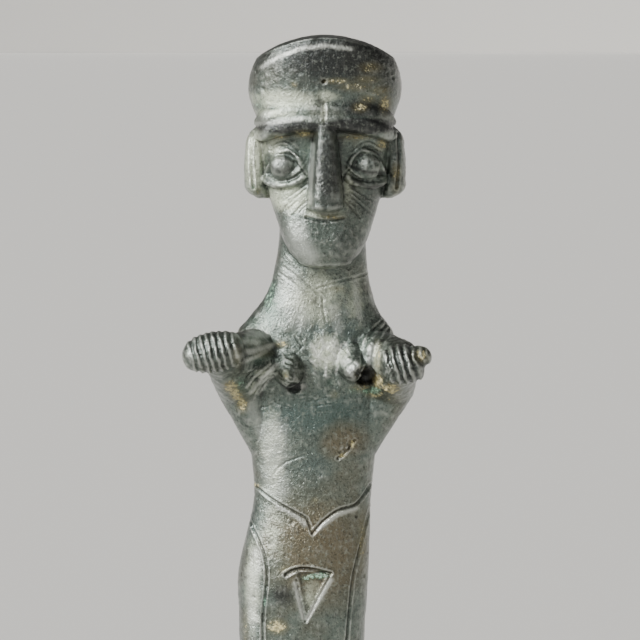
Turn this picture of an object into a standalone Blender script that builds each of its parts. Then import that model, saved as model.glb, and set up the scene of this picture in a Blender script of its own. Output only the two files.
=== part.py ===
"""A solid-cast bronze votive figurine of a standing woman: a flat cap, a schematic mask of a face, a long
neck, short arms that reach forward to clenched fists, a plain column of a body with a chased girdle, and
legs that stand on a low plate cast in one with them.

The free forms are modelled as the founder's wax was: lofts, balls and tapers are pressed into one another,
melted together into one skin, and the main chased lines are drawn into that skin. Every number in those
forms is in U, a 145th of the figure's own height, so they keep their proportions when the height changes.
"""

import math

import bmesh
import bpy
import numpy as np
from mathutils import Matrix, Vector

# Driving sizes, in metres.
FIGURE_HEIGHT = 0.145  # soles to the crown of the cap
PLATE_WIDTH = 0.040  # left to right, across both fists and a little more
PLATE_DEPTH = 0.034  # front to back
PLATE_THICKNESS = 0.005
PLATE_CORNER_RADIUS = 0.003  # upright corners
PLATE_EDGE_RADIUS = 0.0008  # the softened rim, top and bottom
SOLE_SINK = 0.0012  # how deep the feet run into the plate, so that the two are one casting

# How finely the wax is melted together, and how many faces the finished skin keeps.
SKIN_CELL = FIGURE_HEIGHT / 560
SKIN_SMOOTHING_PASSES = 4
SKIN_TRIANGLES = 9300

FIGURE_HEIGHT_IN_U = 145.0
U = FIGURE_HEIGHT / FIGURE_HEIGHT_IN_U
RING_POINTS = 48
RINGS_PER_LOFT = 44
BALL_POINTS = 32
ROLL_POINTS = 12
NEARLY_A_POLE = 88  # degrees of latitude at which a ball is closed with a small flat face

# Places that several forms share, in U. X runs to the right as the figure is seen from the front, -Y is
# the front, and Z is the height above the soles.
FACE_X = 2.5  # the head stands a little to the right of the hips, as the body sways
FACE_TOP_Z = 131.0  # where the cap's band meets the brow
EYE_Z = 125.0
EYE_APART = 6.4  # from the midline of the face
LIDS = (  # rise of the arch, half its length, height of its ends, droop of the outer end, radius of the roll
    (3.1, 2.8, -0.65, 0.85, 0.5),  # upper lid
    (-0.95, 2.8, -0.75, 0.75, 0.42),  # lower lid
    (-1.0, 3.0, -1.9, 0.2, 0.6),  # the bag below it
)
LID_FULLNESS = 2.6  # 2 is a parabola, and more is a flatter arch with rounder ends
LID_POINTS = 11
LID_PROUD = 0.25
FACE_HALF_WIDTH = 9.9  # at the eyes, like the next two
FACE_FRONT = -7.7
FACE_BACK = 9.6
FACE_SQUARENESS = 3.0
CAP_HALF_WIDTH = 11.8
CAP_VAULT_RISE = 3.9
CAP_VAULT_START_Z = 134.5
CAP_VAULT_SPAN = 5.0
FIST_ROUNDNESS = 0.7  # how much of a ball's roundness the row of fingers has from end to end
FINGER = (1.0, 3.2, 3.2)  # half width, half depth and half height of a finger in the middle of the row
FINGER_LEAN = 15.0  # degrees that each finger leans over from upright
FISTS = {
    # side: (middle of the row of fingers, number of fingers, their pitch, tilt of the row in degrees)
    "left": ((-14.3, -12.4, 97.2), 6, 1.2, 12.0),
    "right": ((14.2, -12.4, 95.3), 4, 1.2, 8.0),
}
THUMBS = (  # centre, half sizes, tilt in degrees
    ((-17.9, -12.2, 96.3), (1.3, 1.7, 1.9), 12.0),
    ((16.9, -12.7, 96.6), (1.9, 1.8, 1.6), -20.0),
)


def through(stations, at):
    """Values on a smooth curve through the stations, whose first column is where along the form each lies."""
    table = np.array(stations, float)
    place, values = table[:, 0], table[:, 1:]
    slopes = np.gradient(values, place, axis=0)
    left = np.clip(np.searchsorted(place, at) - 1, 0, len(place) - 2)
    span = (place[left + 1] - place[left])[:, None]
    t = (at[:, None] - place[left][:, None]) / span
    return (
        (2 * t**3 - 3 * t**2 + 1) * values[left]
        + (t**3 - 2 * t**2 + t) * span * slopes[left]
        + (3 * t**2 - 2 * t**3) * values[left + 1]
        + (t**3 - t**2) * span * slopes[left + 1]
    )


def outline(half_width, front, back, squareness, taper):
    """One ring of a loft: an oval with its own depth in front of its centre and behind it."""
    points = []
    for step in range(RING_POINTS):
        angle = 2 * math.pi * step / RING_POINTS
        across, along = math.cos(angle), math.sin(angle)
        x = math.copysign(abs(across) ** (2 / squareness), across) * half_width
        y = math.copysign(abs(along) ** (2 / squareness), along)
        x *= 1 - taper * max(0.0, -y)
        points.append((x, y * (back if y > 0 else -front)))
    return points


def skin_over(wax, rings):
    """Adds one closed form to the wax: its rings of points joined in turn, with a flat face at each end."""
    points, faces = wax
    first = len(points)
    count = len(rings[0])
    for ring in rings:
        points.extend(ring)
    for lower in range(first, len(points) - count, count):
        for step in range(count):
            following = (step + 1) % count
            faces.append((lower + step, lower + following, lower + count + following, lower + count + step))
    faces.append(tuple(range(first + count - 1, first - 1, -1)))
    faces.append(tuple(range(len(points) - count, len(points))))


def loft(wax, stations, squareness=2.2, taper=0.0, place=lambda point: point):
    """A closed form through stations of (height, centre x, half width, front y, back y)."""
    first, last = stations[0][0], stations[-1][0]
    heights = first + (last - first) * (1 - np.cos(np.linspace(0, math.pi, RINGS_PER_LOFT))) / 2
    rings = []
    for height, (centre_x, half_width, front, back) in zip(heights, through(stations, heights)):
        middle = (front + back) / 2
        shape = outline(half_width, front - middle, back - middle, squareness, taper)
        rings.append([place(Vector((centre_x + x, middle + y, height))) for x, y in shape])
    skin_over(wax, rings)


def turned(wax, frame, profile, points):
    """A closed form turned about the frame's Z, through (height, radius) pairs."""
    angles = [2 * math.pi * step / points for step in range(points)]
    skin_over(
        wax,
        [
            [frame @ Vector((radius * math.cos(a), radius * math.sin(a), height)) for a in angles]
            for height, radius in profile
        ],
    )


def meridian(start, end, steps):
    """Heights and radii along a unit ball, between two latitudes in degrees."""
    for step in range(steps + 1):
        latitude = math.radians(start + (end - start) * step / steps)
        yield math.sin(latitude), math.cos(latitude)


def ball(wax, centre, radii, tilt=0.0):
    """An egg of the given half sizes, turned about Y by tilt degrees."""
    frame = Matrix.Translation(centre) @ Matrix.Rotation(-math.radians(tilt), 4, "Y")
    profile = list(meridian(-NEARLY_A_POLE, NEARLY_A_POLE, BALL_POINTS // 2))
    turned(wax, frame @ Matrix.Diagonal((*radii, 1)), profile, BALL_POINTS)


def limb(wax, start, end, start_radius, end_radius, points=BALL_POINTS):
    """A tapered rod with round ends."""
    start, end = Vector(start), Vector(end)
    turn = (end - start).to_track_quat("Z", "Y").to_matrix().to_4x4()
    length = (end - start).length
    near_end = meridian(-NEARLY_A_POLE, 0, points // 4)
    far_end = meridian(0, NEARLY_A_POLE, points // 4)
    profile = [(start_radius * height, start_radius * radius) for height, radius in near_end]
    profile += [(length + end_radius * height, end_radius * radius) for height, radius in far_end]
    turned(wax, Matrix.Translation(start) @ turn, profile, points)


def roll(wax, points, radius):
    """A thin roll of wax laid along the points."""
    for start, end in zip(points, points[1:]):
        limb(wax, start, end, radius, radius, points=ROLL_POINTS)


def trunk(wax):
    """Hips, waist, chest, shoulders and neck: one swaying column."""
    loft(
        wax,
        [
            (37.0, -1.0, 1.5, 0.4, 4.6),
            (41.0, -1.1, 5.6, -1.2, 5.6),
            (46.0, -1.2, 8.9, -3.8, 6.9),
            (50.0, -1.15, 9.6, -4.7, 7.7),
            (54.0, -1.05, 10.0, -5.2, 8.4),
            (60.3, -0.95, 10.3, -5.7, 8.6),
            (66.5, -0.2, 9.75, -5.6, 7.6),
            (72.7, 0.5, 9.2, -5.1, 6.7),
            (80.5, 0.65, 9.8, -5.1, 6.7),
            (87.0, 0.9, 10.2, -5.3, 7.0),
            (93.0, 0.95, 11.5, -5.4, 7.1),
            (96.5, 0.9, 12.6, -5.2, 6.9),
            (98.6, 0.9, 12.5, -4.9, 6.7),
            (100.2, 1.0, 11.2, -4.7, 6.5),
            (102.4, 1.2, 9.5, -4.5, 6.3),
            (105.4, 1.65, 8.05, -4.3, 6.2),
            (110.7, 1.95, 7.0, -4.3, 6.5),
            (119.0, 2.4, 6.8, -4.0, 6.8),
        ],
        squareness=2.35,
    )
    for side in (-1, 1):  # buttocks
        ball(wax, (-1.0 + side * 4.3, 4.6, 57.0), (4.9, 4.9, 8.6))


def legs(wax):
    """Two straight legs with a knee and a calf, joined by a web of metal along their inner sides."""
    for side in (-1, 1):
        loft(
            wax,
            [
                (-0.8, side * 3.55 - 0.8, 3.2, -1.6, 6.2),
                (5.0, side * 3.55 - 0.8, 2.95, -1.2, 5.7),
                (12.0, side * 3.6 - 0.8, 3.3, -1.5, 6.3),
                (21.0, side * 4.0 - 0.85, 4.15, -2.4, 7.4),
                (28.5, side * 3.95 - 0.9, 3.95, -3.4, 5.9),
                (31.5, side * 4.0 - 0.95, 4.1, -3.9, 5.9),
                (37.0, side * 4.25 - 1.0, 4.4, -3.9, 6.6),
                (45.0, side * 4.6 - 1.1, 4.95, -4.1, 7.4),
                (52.0, side * 4.8 - 1.15, 5.2, -4.4, 7.8),
                (57.0, side * 4.8 - 1.1, 5.0, -4.2, 7.4),
            ],
        )
    loft(
        wax,
        [
            (-0.8, -0.8, 1.2, 0.4, 4.4),
            (12.0, -0.8, 1.2, 0.4, 4.4),
            (30.0, -0.9, 1.2, -0.6, 4.4),
            (52.0, -1.1, 1.4, -2.6, 5.4),
        ],
    )


def feet(wax):
    """Plain wedge feet, lofted from the heel towards the toes, with their soles sunk in the plate."""
    sink = SOLE_SINK / U
    for side in (-1, 1):
        heel = Matrix.Translation((side * 3.75 - 0.8, 7.2, -sink)) @ Matrix.Rotation(math.pi / 2, 4, "X")
        loft(
            wax,
            [
                (0.0, 0.0, 0.9, 0.0, 1.6 + sink),
                (1.2, 0.0, 2.4, 0.0, 3.4 + sink),
                (5.0, 0.0, 2.95, 0.0, 4.9 + sink),
                (10.0, 0.0, 3.05, 0.0, 4.1 + sink),
                (14.5, 0.0, 3.25, 0.0, 2.5 + sink),
                (18.0, 0.0, 2.9, 0.0, 1.6 + sink),
                (19.0, 0.0, 1.2, 0.0, 0.9 + sink),
            ],
            squareness=2.8,
            place=lambda point, heel=heel: heel @ point,
        )


def head(wax):
    """The egg of the face and skull, which ends below in a broad round chin that overhangs the neck."""
    loft(
        wax,
        [
            (109.2, FACE_X, 0.4, -6.4, -5.4),
            (109.6, FACE_X, 2.6, -7.5, -2.6),
            (110.8, FACE_X, 4.5, -8.3, 0.4),
            (112.9, FACE_X, 6.1, -8.8, 3.8),
            (116.6, FACE_X, 7.5, -8.6, 6.6),
            (119.3, FACE_X, 8.35, -8.1, 8.2),
            (121.4, FACE_X, 9.1, -7.8, 9.0),
            (EYE_Z, FACE_X, FACE_HALF_WIDTH, FACE_FRONT, FACE_BACK),
            (129.0, FACE_X, 10.4, -7.8, 9.8),
            (FACE_TOP_Z + 2, FACE_X, 10.8, -8.6, 10.0),
        ],
        squareness=FACE_SQUARENESS,
    )


def cap(wax):
    """A flat cap: a coved band rolls out from the forehead, and the upright front ends in an arched rim."""
    def vaulted(point):
        """The same point with the cap's top raised along its middle, front to back."""
        share = min(1.0, max(0.0, (point.z - CAP_VAULT_START_Z) / CAP_VAULT_SPAN))
        arch = 1 - ((point.x - FACE_X) / CAP_HALF_WIDTH) ** 2
        rise = CAP_VAULT_RISE * share * share * (3 - 2 * share) * arch
        return Vector((point.x, point.y, point.z + rise))

    loft(
        wax,
        [
            (129.6, FACE_X, 10.0, -8.2, 9.4),
            (FACE_TOP_Z, FACE_X, 10.35, -9.1, 9.7),
            (132.4, FACE_X, 10.65, -10.0, 10.0),
            (133.6, FACE_X, 11.1, -10.2, 10.3),
            (135.0, FACE_X, 11.6, -10.0, 10.6),
            (136.6, FACE_X, 11.85, -10.15, 10.7),
            (138.0, FACE_X, 11.75, -10.3, 10.7),
            (139.5, FACE_X, 11.35, -10.25, 10.5),
            (140.4, FACE_X, 10.75, -10.0, 10.1),
            (140.85, FACE_X, 9.9, -9.35, 9.3),
            (141.0, FACE_X, 8.0, -7.3, 7.4),
            (141.15, FACE_X, 4.0, -3.6, 3.7),
            (141.2, FACE_X, 0.3, -0.3, 0.3),
        ],
        squareness=2.5,
        place=vaulted,
    )


def brow_and_nose(wax):
    """The T of the mask: one long bar for both brows, and a straight nose that widens to a blunt end."""
    sideways = Matrix(((0, 0, 1, FACE_X), (0, 1, 0, 0), (-1, 0, 0, 0), (0, 0, 0, 1)))
    loft(
        wax,
        [  # along X: centre height (negative), half height, front, back
            (-11.0, -129.7, 0.3, -5.0, -4.2),
            (-10.1, -130.0, 1.1, -7.2, -3.0),
            (-7.5, -131.0, 1.5, -9.5, -5.0),
            (-4.0, -131.7, 1.55, -10.5, -6.0),
            (0.0, -131.9, 1.45, -10.8, -6.0),
            (4.0, -131.7, 1.55, -10.5, -6.0),
            (7.5, -131.0, 1.5, -9.5, -5.0),
            (10.1, -130.0, 1.1, -7.2, -3.0),
            (11.0, -129.7, 0.3, -5.0, -4.2),
        ],
        squareness=2.8,
        place=lambda point: sideways @ point,
    )
    loft(
        wax,
        [
            (118.2, FACE_X, 1.5, -10.9, -6.0),
            (118.6, FACE_X, 2.4, -12.0, -6.0),
            (119.8, FACE_X, 2.7, -12.4, -6.0),
            (123.0, FACE_X, 2.45, -12.1, -6.0),
            (127.0, FACE_X, 2.05, -11.6, -6.0),
            (131.5, FACE_X, 1.6, -11.0, -6.0),
        ],
        squareness=4.5,
        taper=0.35,
    )


def face_front(across):
    """Where the front of the face lies, at the height of the eyes and this far from the midline."""
    middle = (FACE_FRONT + FACE_BACK) / 2
    share = 1 - abs(across / FACE_HALF_WIDTH) ** FACE_SQUARENESS
    return middle + (FACE_FRONT - middle) * share ** (1 / FACE_SQUARENESS)


def lid(side, bend, reach, ends, droop):
    """A line of points that arches over or under the eye, from its inner corner to its outer one."""
    points = []
    for along in np.linspace(-1, 1, LID_POINTS):
        across = EYE_APART + along * reach
        height = EYE_Z + bend * (1 - abs(along) ** LID_FULLNESS) + ends - droop * along
        points.append((FACE_X + side * across, face_front(across) - LID_PROUD, height))
    return points


def eyes_and_ears(wax):
    for side in (-1, 1):
        ball(wax, (FACE_X + side * EYE_APART, -6.5, EYE_Z), (2.05, 1.5, 1.95))
        for *arch, radius in LIDS:
            roll(wax, lid(side, *arch), radius)
        loft(  # a flat ear that stands out sideways
            wax,
            [
                (119.9, FACE_X + side * 9.6, 0.9, -2.2, 1.6),
                (120.8, FACE_X + side * 10.3, 1.6, -3.6, 2.6),
                (123.4, FACE_X + side * 10.7, 1.75, -4.2, 3.2),
                (127.0, FACE_X + side * 10.6, 1.75, -4.2, 3.4),
                (130.0, FACE_X + side * 10.1, 1.5, -3.6, 3.0),
                (131.2, FACE_X + side * 9.6, 0.8, -2.4, 2.0),
            ],
            squareness=2.6,
        )


def breasts(wax):
    """Two small cones, the left one lower and with a nipple, and a fold from it down to the flank."""
    limb(wax, (-3.3, -3.0, 94.2), (-2.8, -7.0, 92.5), 3.3, 1.55)
    limb(wax, (7.1, -3.0, 94.9), (7.6, -7.3, 93.7), 3.6, 1.9)
    ball(wax, (-3.2, -8.2, 92.7), (0.65, 0.6, 0.8), 20.0)
    limb(wax, (-5.9, -4.6, 93.8), (-9.8, -3.0, 90.0), 1.3, 1.0)


def arms(wax):
    """Short arms: each hangs from the shoulder to a thick elbow, and reaches forward to a clenched fist."""
    for side, shoulder, elbow, flank, wrist in (
        ("left", (-6.4, -0.4, 95.4), (-10.0, 0.2, 90.6), (-6.0, 1.0, 80.5), (-13.2, -8.6, 96.0)),
        ("right", (8.8, -0.4, 95.6), (12.3, 0.2, 91.0), (7.9, 1.0, 81.5), (13.9, -8.6, 95.4)),
    ):
        limb(wax, elbow, flank, 4.5, 3.2)
        limb(wax, elbow, wrist, 4.5, 3.2)
        limb(wax, shoulder, wrist, 4.4, 3.3)
        fist(wax, wrist, *FISTS[side])
    for thumb in THUMBS:
        ball(wax, *thumb)


def fist(wax, wrist, middle, fingers, pitch, tilt):
    """A row of finger ridges side by side, at the end of a wrist."""
    limb(wax, wrist, middle, 3.0, 2.7)
    row = Vector((math.cos(math.radians(tilt)), 0, math.sin(math.radians(tilt))))
    half_row = fingers / 2 * pitch + 0.5
    half_width, half_depth, half_height = FINGER
    for finger in range(fingers):
        along = (finger - (fingers - 1) / 2) * pitch
        roundness = math.sqrt(1 - FIST_ROUNDNESS * (along / half_row) ** 2)
        shape = (half_width, half_depth * roundness, half_height * roundness)
        ball(wax, Vector(middle) + row * along, shape, FINGER_LEAN)


def distance_to_line(x, z, points):
    """How far each place on the front is from a line drawn through the points."""
    nearest = np.full(len(x), np.inf)
    for (x0, z0), (x1, z1) in zip(points, points[1:]):
        dx, dz = x1 - x0, z1 - z0
        t = np.clip(((x - x0) * dx + (z - z0) * dz) / (dx * dx + dz * dz), 0, 1)
        nearest = np.minimum(nearest, np.hypot(x - x0 - t * dx, z - z0 - t * dz))
    return nearest


# The main chased lines, as places on the front, in U.
GIRDLE = [(-9.4, 75.4), (-8.3, 74.8), (-5.6, 73.0), (-2.4, 71.4), (-0.4, 70.4), (0.55, 68.0), (2.1, 69.8),
          (4.4, 71.5), (6.2, 71.9), (7.6, 72.4), (9.6, 75.0)]
LEFT_HIP_LINE = [(-9.6, 69.6), (-7.9, 66.6), (-6.9, 64.4), (-6.5, 61.6), (-6.8, 58.4), (-7.4, 54.0),
                 (-7.0, 44.0)]
RIGHT_HIP_LINE = [(9.5, 71.0), (8.7, 68.2), (7.6, 63.9), (6.8, 60.6), (6.4, 56.6), (6.0, 52.0), (5.4, 44.0)]
DELTA_BAR = [(-3.6, 61.5), (-2.2, 62.3), (0.2, 62.5), (3.3, 61.6)]
DELTA = [(-2.2, 61.2), (3.2, 61.2), (-0.5, 54.0)]
MOUTH = [(FACE_X - 2.9, 117.4), (FACE_X - 0.2, 116.7), (FACE_X + 2.7, 117.3)]
CHASED_LINES = (
    # points, half width, depth
    (GIRDLE, 0.5, 0.35),
    (LEFT_HIP_LINE, 0.5, 0.35),
    (RIGHT_HIP_LINE, 0.5, 0.35),
    (DELTA_BAR, 0.55, 0.5),
    ([*DELTA, DELTA[0]], 0.5, 0.3),
    (MOUTH, 0.6, 0.5),
)
# The chased lines are only on the front: they fade out between these two values of the skin's normal in Y.
NOT_FRONT = 0.15
FULLY_FRONT = -0.25


def chased_depth(x, z, normal_y):
    """How deep the main chased lines cut into each point of the skin, in U."""
    front = np.clip((NOT_FRONT - normal_y) / (NOT_FRONT - FULLY_FRONT), 0, 1)
    depth = np.zeros(len(x))
    for points, half_width, cut in CHASED_LINES:
        away = distance_to_line(x, z, points)
        depth = np.maximum(depth, cut * np.clip(1 - (away / half_width) ** 2, 0, 1))
    return depth * front


def evaluated(figure):
    """The figure's mesh as its modifiers leave it."""
    return bpy.data.meshes.new_from_object(figure.evaluated_get(bpy.context.evaluated_depsgraph_get()))


def melt_together(figure):
    """Turns the overlapping forms into one skin, and smooths the seams between them."""
    skin = figure.modifiers.new("one skin", "REMESH")
    skin.mode = "VOXEL"
    skin.voxel_size = SKIN_CELL
    seams = figure.modifiers.new("soft seams", "SMOOTH")
    seams.factor = 0.5
    seams.iterations = SKIN_SMOOTHING_PASSES
    mesh = evaluated(figure)
    figure.modifiers.clear()
    figure.data = mesh


def chase(figure):
    """Moves the skin's points inwards along their normals where a line is drawn."""
    mesh = figure.data
    count = len(mesh.vertices)
    points = np.empty(count * 3, np.float32)
    normals = np.empty(count * 3, np.float32)
    mesh.vertices.foreach_get("co", points)
    mesh.vertices.foreach_get("normal", normals)
    points, normals = points.reshape(-1, 3), normals.reshape(-1, 3)
    x, z = points[:, 0] / U, (points[:, 2] - PLATE_THICKNESS) / U
    points -= normals * (chased_depth(x, z, normals[:, 1]) * U)[:, None].astype(np.float32)
    mesh.vertices.foreach_set("co", points.ravel())
    mesh.update()


def plate():
    """The low plate under the feet, centred on the origin with its underside at Z 0."""
    slab = bmesh.new()
    bmesh.ops.create_cube(
        slab,
        size=1,
        matrix=Matrix.Translation((0, 0, PLATE_THICKNESS / 2))
        @ Matrix.Diagonal((PLATE_WIDTH, PLATE_DEPTH, PLATE_THICKNESS, 1)),
    )
    upright = [e for e in slab.edges if abs(e.verts[0].co.z - e.verts[1].co.z) > PLATE_THICKNESS / 2]
    bmesh.ops.bevel(
        slab, geom=upright, offset=PLATE_CORNER_RADIUS, segments=5, profile=0.5, affect="EDGES", material=-1
    )
    rim = [e for e in slab.edges if abs(e.verts[0].co.z - e.verts[1].co.z) < PLATE_THICKNESS / 2]
    bmesh.ops.bevel(
        slab, geom=rim, offset=PLATE_EDGE_RADIUS, segments=2, profile=0.5, affect="EDGES", material=-1
    )
    mesh = bpy.data.meshes.new("plate_blank")
    slab.to_mesh(mesh)
    slab.free()
    blank = bpy.data.objects.new("plate_blank", mesh)
    bpy.context.scene.collection.objects.link(blank)
    blank.hide_render = True
    blank.display_type = "WIRE"
    return blank


def bronze():
    """Dark patinated bronze."""
    material = bpy.data.materials.new("patinated bronze")
    material.use_nodes = True
    shader = material.node_tree.nodes["Principled BSDF"]
    shader.inputs["Base Color"].default_value = (0.105, 0.115, 0.095, 1)
    shader.inputs["Metallic"].default_value = 0.75
    shader.inputs["Roughness"].default_value = 0.42
    return material


def figurine():
    wax = ([], [])
    for form in (trunk, legs, feet, head, cap, brow_and_nose, eyes_and_ears, breasts, arms):
        form(wax)
    points, faces = wax
    mesh = bpy.data.meshes.new("figurine")
    mesh.from_pydata([(x * U, y * U, z * U + PLATE_THICKNESS) for x, y, z in points], [], faces)
    figure = bpy.data.objects.new("figurine", mesh)
    bpy.context.scene.collection.objects.link(figure)
    melt_together(figure)
    chase(figure)
    figure.data.calc_loop_triangles()
    fewer = figure.modifiers.new("fewer faces", "DECIMATE")
    fewer.ratio = min(1.0, SKIN_TRIANGLES / len(figure.data.loop_triangles))
    fewer.use_collapse_triangulate = True
    foot = figure.modifiers.new("cast with its plate", "BOOLEAN")
    foot.operation = "UNION"
    foot.solver = "EXACT"
    foot.object = plate()
    figure.data.materials.append(bronze())
    figure.data.shade_smooth()


for leftover in list(bpy.data.objects):
    bpy.data.objects.remove(leftover)
figurine()
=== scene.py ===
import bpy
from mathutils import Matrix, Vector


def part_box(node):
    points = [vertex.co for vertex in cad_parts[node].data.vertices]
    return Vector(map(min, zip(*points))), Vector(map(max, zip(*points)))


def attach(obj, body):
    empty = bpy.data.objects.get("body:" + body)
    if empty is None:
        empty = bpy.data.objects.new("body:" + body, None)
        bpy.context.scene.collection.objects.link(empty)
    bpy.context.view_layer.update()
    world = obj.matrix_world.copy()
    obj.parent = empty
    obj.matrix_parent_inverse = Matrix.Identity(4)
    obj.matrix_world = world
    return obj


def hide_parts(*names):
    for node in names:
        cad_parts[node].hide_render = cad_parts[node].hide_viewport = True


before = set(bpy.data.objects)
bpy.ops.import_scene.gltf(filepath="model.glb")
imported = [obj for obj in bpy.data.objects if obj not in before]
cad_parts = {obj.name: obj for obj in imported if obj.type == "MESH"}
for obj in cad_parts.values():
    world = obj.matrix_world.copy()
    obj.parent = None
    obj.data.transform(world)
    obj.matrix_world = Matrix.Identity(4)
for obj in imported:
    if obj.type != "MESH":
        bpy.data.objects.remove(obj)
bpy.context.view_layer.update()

import math

import bmesh
import bpy
import numpy as np
from mathutils import Matrix, Vector, kdtree, noise


# The column of the body. The figure was modelled in wax and cast solid in one pour, so hips, waist, chest
# and neck are one swaying taper with no joint in it. Heights are in millimetres above the soles, and -Y
# is the front.

MM = 0.001
wax = bmesh.new()


def press_on(form):
    """Presses a finished form on the rest of the wax."""
    mesh = bpy.data.meshes.new("form")
    form.to_mesh(mesh)
    form.free()
    wax.from_mesh(mesh)
    bpy.data.meshes.remove(mesh)


def through(stations, at):
    """Values on a smooth curve through the stations; their first column is the place along the form."""
    table = np.array(stations, float)
    place, values = table[:, 0], table[:, 1:]
    slopes = np.gradient(values, place, axis=0)
    left = np.clip(np.searchsorted(place, at) - 1, 0, len(place) - 2)
    span = (place[left + 1] - place[left])[:, None]
    t = (at[:, None] - place[left][:, None]) / span
    return (
        (2 * t**3 - 3 * t**2 + 1) * values[left]
        + (t**3 - 2 * t**2 + t) * span * slopes[left]
        + (3 * t**2 - 2 * t**3) * values[left + 1]
        + (t**3 - t**2) * span * slopes[left + 1]
    )


TAPER_AROUND, TAPER_UP = 64, 52  # how finely the balls are divided
EGG_AROUND, EGG_UP = 40, 28


def taper(stations, squareness=2.2, narrowing=0.0, place=None):
    """A ball drawn into a taper through stations of (height, centre x, half width, front y, back y)."""
    form = bmesh.new()
    bmesh.ops.create_uvsphere(form, u_segments=TAPER_AROUND, v_segments=TAPER_UP, radius=1)
    ball = np.array([vert.co for vert in form.verts])
    first, last = stations[0][0], stations[-1][0]
    height = first + (last - first) * np.clip((ball[:, 2] + 1) / 2, 0, 1)
    centre_x, half_width, front, back = through(stations, height).T
    angle = np.arctan2(ball[:, 1], ball[:, 0])
    off_pole = np.hypot(ball[:, 0], ball[:, 1]) > 1e-4
    across = np.sign(np.cos(angle)) * np.abs(np.cos(angle)) ** (2 / squareness) * off_pole
    along = np.sign(np.sin(angle)) * np.abs(np.sin(angle)) ** (2 / squareness) * off_pole
    across *= 1 - narrowing * np.clip(-along, 0, 1)
    x = centre_x + across * half_width
    y = (front + back) / 2 + along * (back - front) / 2
    for vert, point in zip(form.verts, np.column_stack((x, y, height))):
        vert.co = place(Vector(point)) if place else point
    press_on(form)


def egg(centre, radii, tilt=0.0):
    """A ball of wax with these half sizes, leaned over to the side by tilt degrees."""
    form = bmesh.new()
    turn = Matrix.Translation(centre) @ Matrix.Rotation(-math.radians(tilt), 4, "Y")
    stretch = turn @ Matrix.Diagonal((*radii, 1))
    bmesh.ops.create_uvsphere(form, u_segments=EGG_AROUND, v_segments=EGG_UP, radius=1, matrix=stretch)
    press_on(form)


taper(
    [
        (37.0, -1.0, 1.5, 0.4, 4.6),
        (41.0, -1.1, 5.6, -1.2, 5.6),
        (46.0, -1.2, 8.9, -3.8, 6.9),
        (50.0, -1.15, 9.6, -4.7, 7.7),
        (54.0, -1.05, 10.0, -5.2, 8.4),
        (60.3, -0.95, 10.3, -5.7, 8.6),
        (66.5, -0.2, 9.75, -5.6, 7.6),
        (72.7, 0.5, 9.2, -5.1, 6.7),
        (80.5, 0.65, 9.8, -5.1, 6.7),
        (87.0, 0.9, 10.2, -5.3, 7.0),
        (93.0, 0.95, 11.5, -5.4, 7.1),
        (96.5, 0.9, 12.6, -5.2, 6.9),
        (98.6, 0.9, 12.5, -4.9, 6.7),
        (100.2, 1.0, 11.2, -4.7, 6.5),
        (102.4, 1.2, 9.5, -4.5, 6.3),
        (105.4, 1.65, 8.05, -4.3, 6.2),
        (110.7, 1.95, 7.0, -4.3, 6.5),
        (119.0, 2.4, 6.8, -4.0, 6.8),
    ],
    squareness=2.35,
)
for side in (-1, 1):  # buttocks
    egg((-1.0 + side * 4.3, 4.6, 57.0), (4.9, 4.9, 8.6))


# Legs and feet. They aren't in the photograph, so they are plainer: straight shanks with a knee and a
# calf, joined by a web of metal, and wedge feet whose soles run into the plate.

for side in (-1, 1):
    taper(
        [
            (-0.8, side * 3.55 - 0.8, 3.2, -1.6, 6.2),
            (5.0, side * 3.55 - 0.8, 2.95, -1.2, 5.7),
            (12.0, side * 3.6 - 0.8, 3.3, -1.5, 6.3),
            (21.0, side * 4.0 - 0.85, 4.15, -2.4, 7.4),
            (28.5, side * 3.95 - 0.9, 3.95, -3.4, 5.9),
            (31.5, side * 4.0 - 0.95, 4.1, -3.9, 5.9),
            (37.0, side * 4.25 - 1.0, 4.4, -3.9, 6.6),
            (45.0, side * 4.6 - 1.1, 4.95, -4.1, 7.4),
            (52.0, side * 4.8 - 1.15, 5.2, -4.4, 7.8),
            (57.0, side * 4.8 - 1.1, 5.0, -4.2, 7.4),
        ]
    )
    heel = Matrix.Translation((side * 3.75 - 0.8, 7.2, -1.2)) @ Matrix.Rotation(math.pi / 2, 4, "X")
    taper(
        [
            (0.0, 0.0, 0.9, 0.0, 2.8),
            (1.2, 0.0, 2.4, 0.0, 4.6),
            (5.0, 0.0, 2.95, 0.0, 6.1),
            (10.0, 0.0, 3.05, 0.0, 5.3),
            (14.5, 0.0, 3.25, 0.0, 3.7),
            (18.0, 0.0, 2.9, 0.0, 2.8),
            (19.0, 0.0, 1.2, 0.0, 2.1),
        ],
        squareness=2.8,
        place=lambda point: heel @ point,
    )
taper(  # the web between the legs
    [
        (-0.8, -0.8, 1.2, 0.4, 4.4),
        (12.0, -0.8, 1.2, 0.4, 4.4),
        (30.0, -0.9, 1.2, -0.6, 4.4),
        (52.0, -1.1, 1.4, -2.6, 5.4),
    ]
)


# The plate. A low slab cast in one with the feet; its edges are rounded as a wax slab's are, and its
# underside is rubbed flat so that the figure stands.

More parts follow.
